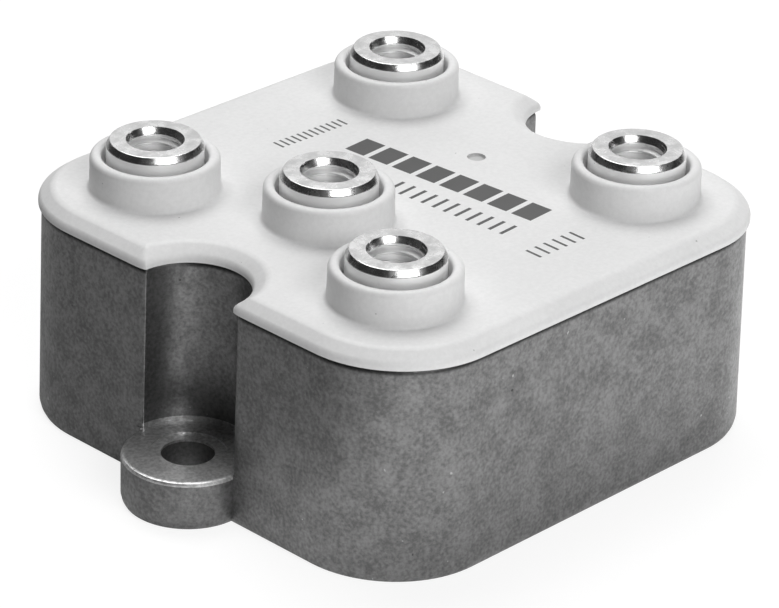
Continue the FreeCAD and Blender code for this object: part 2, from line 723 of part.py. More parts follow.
case = make_case()
cover = make_cover()
terminals = [make_terminal(name, place) for name, place in terminal_places().items()]
shank_rooms = [make_shank_room(name, place) for name, place in terminal_places().items()]
ceramic = make_ceramic()
tracks = make_tracks()
dies = []
discs = []
links = []
for step, phase in enumerate(PHASES):
    for side, row in (("plus", PLUS_ROW), ("minus", "0")):
        dies.append(make_diode(f"{side}_{phase}", phase_x(step), row))
        discs.append(make_disc(f"{side}_{phase}", phase_x(step), row))
    links.append(make_input_link(phase, step))
    links.append(make_minus_link(phase, step))
risers = [make_riser(name, *sides) for name, sides in CORNER_TERMINALS.items()]
bus = make_bus()
doc.recompute()
circuit = [ceramic, *tracks, *dies, *discs, *links, *risers, bus]
standing = [*circuit, *shank_rooms]
gel = make_filling("soft_gel", FLOOR, f"{GEL_TOP} - {FLOOR}", standing)
resin = make_filling("casting_resin", GEL_TOP, f"{BOSS_FOOT} - {GEL_TOP}", standing)
doc.recompute()

pieces = [case, cover, *terminals, *circuit, gel, resin]

for item in doc.Objects:
    if "Invalid" in item.State or "Error" in item.State:
        raise RuntimeError(f"{item.Name} failed: {item.State}")
for piece in pieces:
    if piece.Shape.isNull() or not piece.Shape.isValid():
        raise RuntimeError(f"{piece.Label} has no valid shape")

os.makedirs("parts", exist_ok=True)
for piece in pieces:
    piece.Shape.exportStep(f"parts/{piece.Label}.step")
    print(piece.Label, len(piece.Shape.Solids), round(piece.Shape.Volume, 2))
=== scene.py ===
import bmesh
import bpy
import math
from mathutils import Matrix, Vector


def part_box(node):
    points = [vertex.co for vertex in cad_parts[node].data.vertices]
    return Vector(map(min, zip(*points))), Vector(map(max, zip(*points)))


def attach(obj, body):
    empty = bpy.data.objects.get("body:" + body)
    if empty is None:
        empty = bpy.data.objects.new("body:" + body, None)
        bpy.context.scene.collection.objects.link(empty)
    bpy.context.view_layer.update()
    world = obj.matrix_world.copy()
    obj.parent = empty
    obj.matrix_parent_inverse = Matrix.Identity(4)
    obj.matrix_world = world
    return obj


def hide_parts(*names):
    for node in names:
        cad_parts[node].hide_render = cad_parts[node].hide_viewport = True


# Looks of a three-phase bridge rectifier: a cast case, a moulded cover and five plated terminals.
# Shapes are modelled in millimetres and brought to metres once, when a piece is finished.
# X runs through the two screw ears, Y along the plain sides, Z up from the foot.

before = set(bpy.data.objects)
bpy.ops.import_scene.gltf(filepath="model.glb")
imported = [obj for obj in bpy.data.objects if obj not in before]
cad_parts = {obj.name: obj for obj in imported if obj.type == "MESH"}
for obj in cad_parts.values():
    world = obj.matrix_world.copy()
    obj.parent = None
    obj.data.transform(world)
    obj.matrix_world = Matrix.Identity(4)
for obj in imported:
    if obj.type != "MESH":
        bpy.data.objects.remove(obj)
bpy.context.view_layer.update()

MM = 0.001
UP = Vector((0, 0, 1))
ORIGIN = Vector((0, 0, 0))


def extent(node):
    """Lowest and highest corner of a solid, in millimetres."""
    low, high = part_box(node)
    return low / MM, high / MM


# Places read from the solids

case_low, case_high = extent("case")
cover_low, cover_high = extent("cover")
terminal_low, terminal_high = extent("terminal_minus")
TERMINALS = ["ac_one", "ac_two", "ac_three", "plus", "minus"]
SITES = {name: sum(extent(f"terminal_{name}"), Vector()) / 2 for name in TERMINALS}

# Case

EAR_RADIUS = 5.9
EAR_X = case_high.x - EAR_RADIUS
EAR_TOP = 4.7
EAR_BEVEL = 0.4
SEAM = case_high.z
WALL_X = 25.6
WALL_Y = case_high.y
CORNER = 10.0
LEAN = 0.36
WALL = 2.0
CASE_FLOOR = 4.0
FOOT_INSET = 0.28
FOOT_HEIGHT = 0.75
FOOT_BEND = 0.4
EAR_BEND = 0.3
NOTCH_RADIUS = 5.75
NOTCH_ROUND = 1.0
RIM_WIDTH = 0.45
RIM_HEIGHT = 0.75
HOLE_RADIUS = 2.4
SEAT_RADIUS = 3.45
SEAT_DEPTH = 0.15

# Cover

OVERHANG = 0.3
PLATE = 1.55
PLATE_TOP = SEAM + PLATE
SLOPE_WIDTH = 1.3
SLOPE_DROP = 0.95
LIP_ROUND = 0.7
CREST_ROUND = 1.1
CROWN = cover_high.z
COLLAR_RADIUS = 5.9
COLLAR_DRAFT = 0.06
COLLAR_FOOT_ROUND = 0.3
COLLAR_FOOT_WIDTH = 0.315
COLLAR_TOP_ROUND = 0.5
BORE_RADIUS = 4.8
BORE_ROUND = 0.4
GATE_X = 10.6
GATE_RADIUS = 0.85
GATE_DEPTH = 0.3
SKIRT_FOOT = cover_low.z
SKIRT_GAP = 0.2
SKIRT_WALL = 1.2
BOSS_RADIUS = 7.217
BOSS_BORE_RADIUS = 5.1
SOCKET = 11.2

# Terminals

TERMINAL_TOP = terminal_high.z
TERMINAL_FOOT = terminal_low.z
SLEEVE_RADIUS = 4.4
BEVEL_WIDTH = 0.33
BEVEL_HEIGHT = 0.57
BEVEL_SOFTNESS = 0.07
MOUTH_RADIUS = 2.65
MOUTH_SLOPE = math.tan(math.radians(30))
THREAD_RADIUS = 2.5
CORE_RADIUS = 2.1
PITCH = 0.8
HALF_FLAT = 0.06
SPARE_TURNS = 2
BORE_DEPTH = 9.0
DRILL_POINT = 1.2
HEXAGON = 11.0
HEXAGON_HEIGHT = 2.5
SHANK_RADIUS = 3.25

# Fineness of round stretches

CORNER_STEPS = 24
ARC_STEPS = 64
NOTCH_STEPS = 8
RIM_STEPS = 6
ROUNDING_STEPS = 6
TURN_STEPS = 128
GATE_STEPS = 48
THREAD_STEPS = 64

# Points nearer than CLOSE are one, no rounding is under LEAST_ROUND, cutting shapes run past what
# they cut by OVERRUN, and edges that turn by more than a crease angle, in degrees, stay sharp

CLOSE = 1e-4
LEAST_ROUND = 0.03
OVERRUN = 1.0
CREASE = 30
TERMINAL_CREASE = 22


# Shapes

def round_corners(bm, corners, radius, steps=ROUNDING_STEPS):
    bmesh.ops.bevel(bm, geom=corners, offset=radius, offset_type="OFFSET", segments=steps,
                    profile=0.5, affect="VERTICES", material=-1)


def side_arc(bm, half_x, radius, side, outwards):
    """An arc about an ear's axis, between two points of the wall that the ear stands on."""
    reach = half_x - EAR_X
    rise = math.sqrt(radius ** 2 - reach ** 2)
    start = bm.verts.new((side * half_x, -side * rise, 0))
    beyond = 2 * math.atan2(rise, reach)
    sweep = beyond if outwards else beyond - 2 * math.pi
    spun = bmesh.ops.spin(bm, geom=[start], cent=(side * EAR_X, 0, 0), axis=UP, angle=sweep,
                          steps=ARC_STEPS)
    return start, spun["geom_last"][0]


def plan(inset, height, ear=None, notch=None, mouth_round=0.0):
    """Flat face of the plan, drawn in by inset, with an ear or a notch at each end."""
    half_x = WALL_X - inset
    half_y = WALL_Y - inset
    radius = ear or notch
    bm = bmesh.new()
    right = side_arc(bm, half_x, radius, 1, outwards=bool(ear))
    left = side_arc(bm, half_x, radius, -1, outwards=bool(ear))
    corners = [bm.verts.new((x * half_x, y * half_y, 0))
               for x, y in ((1, 1), (-1, 1), (-1, -1), (1, -1))]
    ring = [right[1], corners[0], corners[1], left[0], left[1], corners[2], corners[3], right[0]]
    for pair in zip(ring, ring[1:]):
        if pair != left:
            bm.edges.new(pair)
    bmesh.ops.contextual_create(bm, geom=list(bm.edges))
    round_corners(bm, corners, CORNER - inset, CORNER_STEPS)
    if mouth_round:
        mouths = [right[0], right[1], left[0], left[1]]
        round_corners(bm, mouths, mouth_round, NOTCH_STEPS)
    bmesh.ops.translate(bm, vec=(0, 0, height), verts=bm.verts)
    return bm


def gathered(shapes):
    """One shape that holds several, which don't touch."""
    bm = bmesh.new()
    for shape in shapes:
        mesh = bpy.data.meshes.new("shape")
        shape.to_mesh(mesh)
        shape.free()
        bm.from_mesh(mesh)
        bpy.data.meshes.remove(mesh)
    return bm


def loft(sections):
    """Closed skin through a stack of flat faces that all have as many corners."""
    bm = gathered(sections)
    faces = list(bm.faces)
    rings = [list(face.edges) for face in faces]
    bmesh.ops.delete(bm, geom=faces[1:-1], context="FACES_ONLY")
    for lower, upper in zip(rings, rings[1:]):
        bmesh.ops.bridge_loops(bm, edges=lower + upper)
    bmesh.ops.recalc_face_normals(bm, faces=bm.faces)
    return bm


def turned(points, rounds=None, centre=ORIGIN, steps=TURN_STEPS, open_at=()):
    """Skin turned from a half section of (radius, height) corners, with some of them rounded."""
    bm = bmesh.new()
    corners = [bm.verts.new((radius, 0, height)) for radius, height in points]
    bm.faces.new(corners)
    for number, radius in (rounds or {}).items():
        round_corners(bm, [corners[number]], radius)
    bmesh.ops.delete(bm, geom=list(bm.faces), context="FACES_ONLY")

    def left_out(edge):
        ends = [vert.co for vert in edge.verts]
        on_axis = all(end.x < CLOSE for end in ends)
        return on_axis or any(all(abs(end.z - level) < CLOSE for end in ends) for level in open_at)

    bmesh.ops.delete(bm, geom=[edge for edge in bm.edges if left_out(edge)], context="EDGES")
    bmesh.ops.spin(bm, geom=list(bm.verts) + list(bm.edges), cent=ORIGIN, axis=UP,
                   angle=2 * math.pi, steps=steps, use_merge=True)
    bmesh.ops.remove_doubles(bm, verts=bm.verts, dist=CLOSE)
    bmesh.ops.translate(bm, vec=(centre.x, centre.y, 0), verts=bm.verts)
    bmesh.ops.recalc_face_normals(bm, faces=bm.faces)
    return bm


def hexagon_bar(across, foot, top, centre=ORIGIN, ends=True):
    """A six-sided bar with two corners on the X axis."""
    bm = bmesh.new()
    corner = across / 2 / math.cos(math.pi / 6)
    bmesh.ops.create_circle(bm, cap_ends=ends, segments=6, radius=corner)
    quarter = Matrix.Rotation(math.pi / 2, 3, "Z")
    bmesh.ops.rotate(bm, verts=bm.verts, cent=ORIGIN, matrix=quarter)
    bmesh.ops.translate(bm, verts=bm.verts, vec=(centre.x, centre.y, foot))
    if ends:
        raised = bmesh.ops.extrude_face_region(bm, geom=list(bm.faces))["geom"]
    else:
        raised = bmesh.ops.extrude_edge_only(bm, edges=list(bm.edges))["geom"]
    upper = [item for item in raised if isinstance(item, bmesh.types.BMVert)]
    bmesh.ops.translate(bm, verts=upper, vec=(0, 0, top - foot))
    bmesh.ops.recalc_face_normals(bm, faces=bm.faces)
    return bm


def open_ring(bm, height):
    """Open edges of a skin at one height."""
    return [edge for edge in bm.edges if len(edge.link_faces) < 2
            and all(abs(vert.co.z - height) < CLOSE for vert in edge.verts)]


def scratch_object(bm, name):
    """An object that holds a shape while it is combined with others."""
    mesh = bpy.data.meshes.new(name)
    bm.to_mesh(mesh)
    bm.free()
    thing = bpy.data.objects.new(name, mesh)
    bpy.context.scene.collection.objects.link(thing)
    return thing


def combine(base, changes):
    """Joins a shape with others, or cuts them out of it, one after another."""
    body = scratch_object(base, "base")
    tools = []
    for operation, shape in changes:
        tool = scratch_object(shape, "tool")
        change = body.modifiers.new(operation, "BOOLEAN")
        change.operation = operation
        change.solver = "EXACT"
        change.object = tool
        tools.append(tool)
    graph = bpy.context.evaluated_depsgraph_get()
    mesh = bpy.data.meshes.new_from_object(body.evaluated_get(graph))
    bm = bmesh.new()
    bm.from_mesh(mesh)
    bpy.data.meshes.remove(mesh)
    for thing in [body, *tools]:
        bpy.data.objects.remove(thing)
    bmesh.ops.remove_doubles(bm, verts=bm.verts, dist=CLOSE)
    return bm


def finish_piece(name, bm, material, node, crease=CREASE):
    """Brings a shape to metres and puts it in the place of its solid."""
    bmesh.ops.scale(bm, vec=(MM, MM, MM), verts=bm.verts)
    for face in bm.faces:
        face.smooth = True
    for edge in bm.edges:
        if len(edge.link_faces) == 2:
            edge.smooth = edge.calc_face_angle() < math.radians(crease)
    mesh = bpy.data.meshes.new(name)
    bm.to_mesh(mesh)
    bm.free()
    mesh.materials.append(material)
    piece = bpy.data.objects.new(name, mesh)
    bpy.context.scene.collection.objects.link(piece)
    weights = piece.modifiers.new("even_normals", "WEIGHTED_NORMAL")
    weights.keep_sharp = True
    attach(piece, "root")
    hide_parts(node)


# Case: a casting with two ears, two notches and an open top

def lean_at(height):
    """How far the wall leans in at a height."""
    return LEAN * height / SEAM


def make_case(material):
    turns = [math.radians(90 * step / RIM_STEPS) for step in range(RIM_STEPS + 1)]
    rim = [(RIM_WIDTH * (1 - math.cos(turn)), SEAM - RIM_HEIGHT * (1 - math.sin(turn)))
           for turn in turns]
    upper = loft([plan(lean_at(z) + inset, z, notch=NOTCH_RADIUS + inset, mouth_round=NOTCH_ROUND)
                  for inset, z in [(0, EAR_TOP), *rim]])
    # How far the foot draws in, the height, and how far the ear alone draws in
    levels = [
        (FOOT_INSET, 0.0, 0.0),
        (FOOT_INSET * FOOT_BEND, FOOT_HEIGHT * FOOT_BEND, 0.0),
        (0.0, FOOT_HEIGHT, 0.0),
        (0.0, EAR_TOP - EAR_BEVEL, 0.0),
        (0.0, EAR_TOP - EAR_BEVEL * EAR_BEND, EAR_BEVEL * EAR_BEND),
        (0.0, EAR_TOP, EAR_BEVEL),
    ]
    lower = loft([plan(lean_at(z) + inset, z, ear=EAR_RADIUS - inset - drop)
                  for inset, z, drop in levels])
    hollow = loft([plan(LEAN + WALL, z, notch=NOTCH_RADIUS + WALL)
                   for z in (CASE_FLOOR, SEAM + OVERRUN)])
    seat = EAR_TOP - SEAT_DEPTH
    above = EAR_TOP + OVERRUN
    screw = [(0, -OVERRUN), (HOLE_RADIUS, -OVERRUN), (HOLE_RADIUS, seat), (SEAT_RADIUS, seat),
             (SEAT_RADIUS, above), (0, above)]
    screws = gathered([turned(screw, centre=Vector((x, 0, 0))) for x in (-EAR_X, EAR_X)])
    shape = combine(lower, [("UNION", upper), ("DIFFERENCE", hollow), ("DIFFERENCE", screws)])
    finish_piece("cast_case", shape, material, "case")


# Cover: one moulding with a sloped rim, five collars, and bosses and a skirt below

def rim_section():
    """The rim from its lip to its flat top, as (inset, height) pairs with two roundings."""
    rise = math.atan2(SLOPE_DROP, SLOPE_WIDTH)
    far = 2 * SLOPE_WIDTH
    bm = bmesh.new()
    corners = [bm.verts.new((x, 0, z)) for x, z in
               ((0, 0), (0, PLATE - SLOPE_DROP), (SLOPE_WIDTH, PLATE), (far, PLATE), (far, 0))]
    bm.faces.new(corners)
    round_corners(bm, [corners[1]], LIP_ROUND * math.tan((math.pi / 2 - rise) / 2))
    round_corners(bm, [corners[2]], CREST_ROUND * math.tan(rise / 2))
    places = sorted(((vert.co.x, vert.co.z) for vert in bm.verts), key=sum)
    bm.free()
    return [(x, z) for x, z in places if x < far - CLOSE and z > CLOSE]


def make_plate():
    """The plate with its rim, whose slopes meet in a mitre at each corner of a notch."""
    edge = LEAN - OVERHANG
    mouth = NOTCH_ROUND + OVERHANG
    return loft([plan(edge + inset, SEAM + height, notch=NOTCH_RADIUS - OVERHANG + inset,
                      mouth_round=max(mouth - inset, LEAST_ROUND))
                 for inset, height in [(0, 0), *rim_section()]])


def make_skirt():
    outer = LEAN + WALL + SKIRT_GAP
    inner = outer + SKIRT_WALL
    tower = NOTCH_RADIUS + WALL + SKIRT_GAP
    ring = loft([plan(outer, z, notch=tower) for z in (SKIRT_FOOT, SEAM + PLATE / 3)])
    room = loft([plan(inner, z, notch=tower + SKIRT_WALL)
                 for z in (SKIRT_FOOT - OVERRUN, PLATE_TOP)])
    return combine(ring, [("DIFFERENCE", room)])


def make_cover(material):
    sunk = SEAM + PLATE / 2
    foot = COLLAR_RADIUS + COLLAR_FOOT_WIDTH
    collar = [(BORE_RADIUS, sunk), (foot, sunk), (foot, PLATE_TOP), (COLLAR_RADIUS, PLATE_TOP),
              (COLLAR_RADIUS - COLLAR_DRAFT, CROWN), (BORE_RADIUS, CROWN)]
    collar_rounds = {3: COLLAR_FOOT_ROUND, 4: COLLAR_TOP_ROUND, 5: BORE_ROUND}
    buried = SEAM + PLATE / 3
    boss = [(BOSS_BORE_RADIUS, SKIRT_FOOT), (BOSS_RADIUS, SKIRT_FOOT),
            (BOSS_RADIUS, buried), (BOSS_BORE_RADIUS, buried)]
    below = SEAM - OVERRUN
    above = sunk + OVERRUN
    bore = [(0, below), (BORE_RADIUS, below), (BORE_RADIUS, above), (0, above)]
    dip = PLATE_TOP - GATE_DEPTH
    gate = [(0, dip), (GATE_RADIUS, dip), (GATE_RADIUS, CROWN), (0, CROWN)]
    places = SITES.values()
    collars = gathered([turned(collar, collar_rounds, place) for place in places])
    bosses = gathered([turned(boss, centre=place) for place in places])
    bores = gathered([turned(bore, centre=place) for place in places])
    sockets = gathered([hexagon_bar(SOCKET, SKIRT_FOOT - OVERRUN, SEAM, place)
                        for place in places])
    dimple = turned(gate, {1: GATE_DEPTH / 2}, Vector((GATE_X, 0, 0)), steps=GATE_STEPS)
    shape = combine(make_plate(), [
        ("DIFFERENCE", bores),
        ("UNION", collars),
        ("UNION", make_skirt()),
        ("UNION", bosses),
        ("DIFFERENCE", sockets),
        ("DIFFERENCE", dimple),
    ])
    finish_piece("moulded_cover", shape, material, "cover")


# Terminals: turned from hexagon bar and tapped from above

def make_thread():
    """The tapped wall: a zigzag turned once while it climbs one pitch, with a cone at its mouth."""
    bm = bmesh.new()
    foot = TERMINAL_TOP - BORE_DEPTH
    flanks = [(THREAD_RADIUS, HALF_FLAT), (CORE_RADIUS, 0.5 - HALF_FLAT),
              (CORE_RADIUS, 0.5 + HALF_FLAT), (THREAD_RADIUS, 1 - HALF_FLAT)]
    turns = range(-SPARE_TURNS, int(BORE_DEPTH / PITCH) + SPARE_TURNS)
    zigzag = [bm.verts.new((radius, 0, foot + (turn + share) * PITCH))
              for turn in turns for radius, share in flanks]
    links = [bm.edges.new(pair) for pair in zip(zigzag, zigzag[1:])]
    bmesh.ops.subdivide_edges(bm, edges=links, cuts=1)
    bmesh.ops.spin(bm, geom=list(bm.verts) + list(bm.edges), cent=ORIGIN, axis=UP,
                   dvec=(0, 0, PITCH / THREAD_STEPS), angle=2 * math.pi, steps=THREAD_STEPS)
    bmesh.ops.remove_doubles(bm, verts=bm.verts, dist=CLOSE)
    for vert in bm.verts:
        reach = math.hypot(vert.co.x, vert.co.y)
        cone = MOUTH_RADIUS + min(vert.co.z - TERMINAL_TOP, 0) * MOUTH_SLOPE
        if cone > reach:
            vert.co.x *= cone / reach
            vert.co.y *= cone / reach
    for height, above in ((TERMINAL_TOP, True), (foot, False)):
        bmesh.ops.bisect_plane(bm, geom=list(bm.verts) + list(bm.edges) + list(bm.faces),
                               dist=CLOSE, plane_co=(0, 0, height), plane_no=UP,
                               clear_outer=above, clear_inner=not above)
    floor = bmesh.ops.contextual_create(bm, geom=open_ring(bm, foot))["faces"]
    bmesh.ops.recalc_face_normals(bm, faces=bm.faces)
    bmesh.ops.poke(bm, faces=floor, offset=-DRILL_POINT)
    return bm


def make_terminal(name, material):
    under = SEAM - HEXAGON_HEIGHT
    rim = SLEEVE_RADIUS - BEVEL_WIDTH
    sleeve = [(0, TERMINAL_TOP), (rim, TERMINAL_TOP),
              (SLEEVE_RADIUS, TERMINAL_TOP - BEVEL_HEIGHT), (SLEEVE_RADIUS, SEAM), (0, SEAM)]
    softened = {1: BEVEL_SOFTNESS, 2: BEVEL_SOFTNESS}
    shank = [(0, TERMINAL_FOOT), (SHANK_RADIUS, TERMINAL_FOOT), (SHANK_RADIUS, under), (0, under)]
    bm = gathered([
        make_thread(),
        turned(sleeve, softened, open_at=(TERMINAL_TOP, SEAM)),
        hexagon_bar(HEXAGON, under, SEAM, ends=False),
        turned(shank, open_at=(under,)),
    ])
    for height in (TERMINAL_TOP, SEAM, under):
        bmesh.ops.triangle_fill(bm, edges=open_ring(bm, height), use_beauty=True)
    bmesh.ops.translate(bm, vec=(SITES[name].x, SITES[name].y, 0), verts=bm.verts)
    bmesh.ops.recalc_face_normals(bm, faces=bm.faces)
    finish_piece(f"tapped_{name}", bm, material, f"terminal_{name}",
                 crease=TERMINAL_CREASE)


# Materials

class Number:
    """A number in a material, on which ordinary arithmetic adds Math nodes."""

    def __init__(self, finish, socket):
        self.finish = finish
        self.socket = socket

    def math(self, operation, first, second=0.0):
        return self.finish.node("ShaderNodeMath", {"operation": operation}, {0: first, 1: second})

    def __add__(self, other):
        return self.math("ADD", self, other)

    def __radd__(self, other):
        return self.math("ADD", other, self)

    def __sub__(self, other):
        return self.math("SUBTRACT", self, other)

    def __rsub__(self, other):
        return self.math("SUBTRACT", other, self)

    def __mul__(self, other):
        return self.math("MULTIPLY", self, other)

    def __rmul__(self, other):
        return self.math("MULTIPLY", other, self)

    def __abs__(self):
        return self.math("ABSOLUTE", self)

    def __lt__(self, other):
        return self.math("LESS_THAN", self, other)

    def __gt__(self, other):
        return self.math("GREATER_THAN", self, other)


class Finish:
    """A material being made, with the one method that adds its nodes."""

    def __init__(self, name):
        self.material = bpy.data.materials.new(name)
        self.material.use_nodes = True
        self.tree = self.material.node_tree
        self.tree.nodes.clear()
        self.place = self.node("ShaderNodeTexCoord", output="Object")

    def node(self, kind, settings=None, inputs=None, output=0):
        made = self.tree.nodes.new(kind)
        for name, setting in (settings or {}).items():
            setattr(made, name, setting)
        for name, item in (inputs or {}).items():
            if isinstance(item, Number):
                self.tree.links.new(item.socket, made.inputs[name])
            else:
                made.inputs[name].default_value = item
        return Number(self, made.outputs[output]) if len(made.outputs) else made

    def noise(self, size, detail=2.0, roughness=0.5):
        """Cloudy noise from 0 to 1, with features of about this size in millimetres."""
        return self.node("ShaderNodeTexNoise", inputs={
            "Vector": self.place,
            "Scale": 1 / (size * MM),
            "Detail": detail,
            "Roughness": roughness,
        })

    def fade(self, number, start, end, low=0.0, high=1.0):
        """A number brought smoothly from one range to another, and held at both ends."""
        return self.node("ShaderNodeMapRange", {"interpolation_type": "SMOOTHSTEP"}, {
            "Value": number,
            "From Min": start,
            "From Max": end,
            "To Min": low,
            "To Max": high,
        })

    def mix(self, share, first, second):
        """A colour between two others."""
        return self.node("ShaderNodeMix", {"data_type": "RGBA"}, {0: share, 6: first, 7: second},
                         output=2)

    def bump(self, height, depth, under=None):
        """A bump of this depth in millimetres, over another one if there is one."""
        sockets = {"Height": height, "Distance": depth * MM}
        if under:
            sockets["Normal"] = under
        return self.node("ShaderNodeBump", inputs=sockets)

    def axes(self):
        """X, Y and Z of the surface, in millimetres."""
        first = self.node("ShaderNodeSeparateXYZ", inputs={"Vector": self.place})
        return [Number(self, part) * (1 / MM) for part in first.socket.node.outputs]

    def surface(self, **sockets):
        """The finished material, from the sockets of its shader."""
        named = {name.replace("_", " "): item for name, item in sockets.items()}
        shader = self.node("ShaderNodeBsdfPrincipled", inputs=named)
        self.node("ShaderNodeOutputMaterial", inputs={"Surface": shader})
        return self.material


def grey(level):
    """A neutral colour, from 0 for black to 1 for white."""
    return (level, level, level, 1.0)


# Cast metal: sizes in millimetres and greys. Painted shade under the cover's lip starts below the
# seam and is full nearer to it.

CAST_GRAIN = 0.34
CAST_CLOUD = 2.2
CAST_SPOT = 0.62
CAST_RELIEF = 0.018
# Painted shade under the cover's lip: where it starts and where it is full below the seam, how
# ragged its edge is, and its greatest share
LIP_SHADE_START = 0.5
LIP_SHADE_FULL = 0.1
LIP_SHADE_RAGGED = 0.4
LIP_SHADE_COVER = 0.75
CAST_DARK = grey(0.13)
CAST_LIGHT = grey(0.255)
# Ear tops: machined metal, and painted much lighter for the light that falls on their tops
LIT_EAR_DARK = grey(0.34)
LIT_EAR_LIGHT = grey(0.72)
GLINT = grey(0.60)
# Near black, for the small pits and for the painted shade under the lip
PIT_AND_SHADE_GREY = grey(0.02)


def cast_metal():
    """Blasted cast metal: fine grain, faint clouds, small pits, painted glints, lighter machined
    ear tops with painted light, and painted shade below the cover's lip.
    """
    finish = Finish("cast_metal")
    x, y, z = finish.axes()
    ear_x = abs(x) - EAR_X
    # Painted light: the ear tops and their bevels are painted lighter, standing for the light that
    # falls on them as well as their machined face
    lit_ear_top = (ear_x * ear_x + y * y < EAR_RADIUS ** 2) * (abs(z - EAR_TOP) < EAR_BEVEL)
    grain = finish.noise(CAST_GRAIN, detail=4.0, roughness=0.55)
    cloud = finish.noise(CAST_CLOUD, detail=4.0, roughness=0.6)
    spots = finish.noise(CAST_SPOT, detail=1.0)
    pit = finish.fade(spots, 0.205, 0.17)
    # Painted glints: rare spots of the metal are painted bright, standing for sparkles of light
    glint = finish.fade(spots, 0.78, 0.82)
    # Painted shade: the metal is darkened just below the cover's lip, where the lip's shadow falls
    lip_shade = finish.fade(z + cloud * LIP_SHADE_RAGGED, SEAM - LIP_SHADE_START, SEAM - LIP_SHADE_FULL,
                       high=LIP_SHADE_COVER)
    tone = finish.fade(grain * 0.6 + cloud * 0.4, 0.32, 0.68)
    colour = finish.mix(tone, CAST_DARK, CAST_LIGHT)
    colour = finish.mix(lit_ear_top, colour, finish.mix(tone, LIT_EAR_DARK, LIT_EAR_LIGHT))
    colour = finish.mix(pit * 0.7, colour, PIT_AND_SHADE_GREY)
    colour = finish.mix(glint * 0.6, colour, GLINT)
    colour = finish.mix(lip_shade, colour, PIT_AND_SHADE_GREY)
    rough = finish.fade(cloud * 0.5 + grain * 0.5, 0.35, 0.65, low=0.41, high=0.33)
    skin = finish.bump(grain - pit * 0.8, CAST_RELIEF)
    return finish.surface(Base_Color=colour, Metallic=0.85, Roughness=rough, Normal=skin)


# Cover: sizes in millimetres and greys. A mask of its flat top reaches TOP_MARGIN past its height.

TOP_MARGIN = 0.05
PLASTIC_CLOUD = 9.0
PLASTIC_GRAIN = 0.45
PLASTIC_SPECK = 0.5
PLASTIC_TEXTURE = 0.25
PLASTIC_RELIEF = 0.004
PLASTIC_DARK = grey(0.72)
PLASTIC_LIGHT = grey(0.79)
GATE_MARK = grey(0.52)
SPECK = grey(0.2)
INK = grey(0.06)

# Printed rows: both ends of the base line, the height, the strokes' pitch and how much of it is ink

PRINT_ROWS = [
    ((2.93, 9.33), (4.39, -12.98), 3.1, 2.80, 0.80),
    ((-0.42, 0.70), (0.50, -13.37), 2.2, 1.30, 0.28),
    ((-1.14, 13.28), (7.50, 12.97), 1.4, 0.72, 0.34),
    ((-0.46, -18.04), (5.91, -18.16), 1.8, 1.10, 0.26),
]


def printed_row(axes, start, end, height, pitch, share):
    """1 on the upright strokes of one printed row, and 0 elsewhere."""
    x, y, z = axes
    reach = math.dist(start, end)
    ahead = ((end[0] - start[0]) / reach, (end[1] - start[1]) / reach)
    across_x = x - start[0]
    across_y = y - start[1]
    along = across_x * ahead[0] + across_y * ahead[1]
    aside = across_y * ahead[0] - across_x * ahead[1]
    strokes = along * (1 / pitch)
    inked = strokes.math("FRACT", strokes) < share
    inside = (abs(along - reach / 2) < reach / 2) * (abs(aside - height / 2) < height / 2)
    return inside * inked * (abs(z - PLATE_TOP) < TOP_MARGIN)


def cover_plastic():
    """Light moulded plastic with small dark specks and four plain printed rows."""
    finish = Finish("cover_plastic")
    axes = finish.axes()
    x, y, z = axes
    cloud = finish.noise(PLASTIC_CLOUD, detail=3.0)
    grain = finish.noise(PLASTIC_GRAIN, detail=4.0, roughness=0.65)
    speck = finish.fade(finish.noise(PLASTIC_SPECK, detail=1.0), 0.20, 0.165)
    gate_x = x - GATE_X
    in_gate = (gate_x * gate_x + y * y < GATE_RADIUS ** 2) * (z < PLATE_TOP + TOP_MARGIN)
    tone = finish.fade(cloud * 0.4 + grain * 0.6, 0.3, 0.7)
    colour = finish.mix(tone, PLASTIC_DARK, PLASTIC_LIGHT)
    colour = finish.mix(in_gate, colour, GATE_MARK)
    colour = finish.mix(speck * 0.6, colour, SPECK)
    for row in PRINT_ROWS:
        colour = finish.mix(printed_row(axes, *row), colour, INK)
    rough = finish.fade(cloud, 0.3, 0.7, low=0.46, high=0.54)
    skin = finish.bump(finish.noise(PLASTIC_TEXTURE, detail=3.0), PLASTIC_RELIEF)
    return finish.surface(Base_Color=colour, Roughness=rough, Normal=skin)


# Plating: sizes in millimetres and greys. It is duller and painted lighter from DULL_GAP below the
# turned bevel, the lighter grey a painted reflection of the light collar.

PLATING_CLOUD = 1.4
PLATING_FINE = 0.14
PLATING_PIT = 0.5
PLATING_WAVE = 0.012
PLATING_RELIEF = 0.004
DULL_GAP = 0.04
DULL_ROUGHNESS = 0.28
PLATING_DARK = grey(0.60)
PLATING_LIGHT = grey(0.76)
# Painted reflection: the sleeve below the bevel is painted this lighter grey
SLEEVE_PAINTED_REFLECTION = grey(0.92)
TARNISH = grey(0.12)


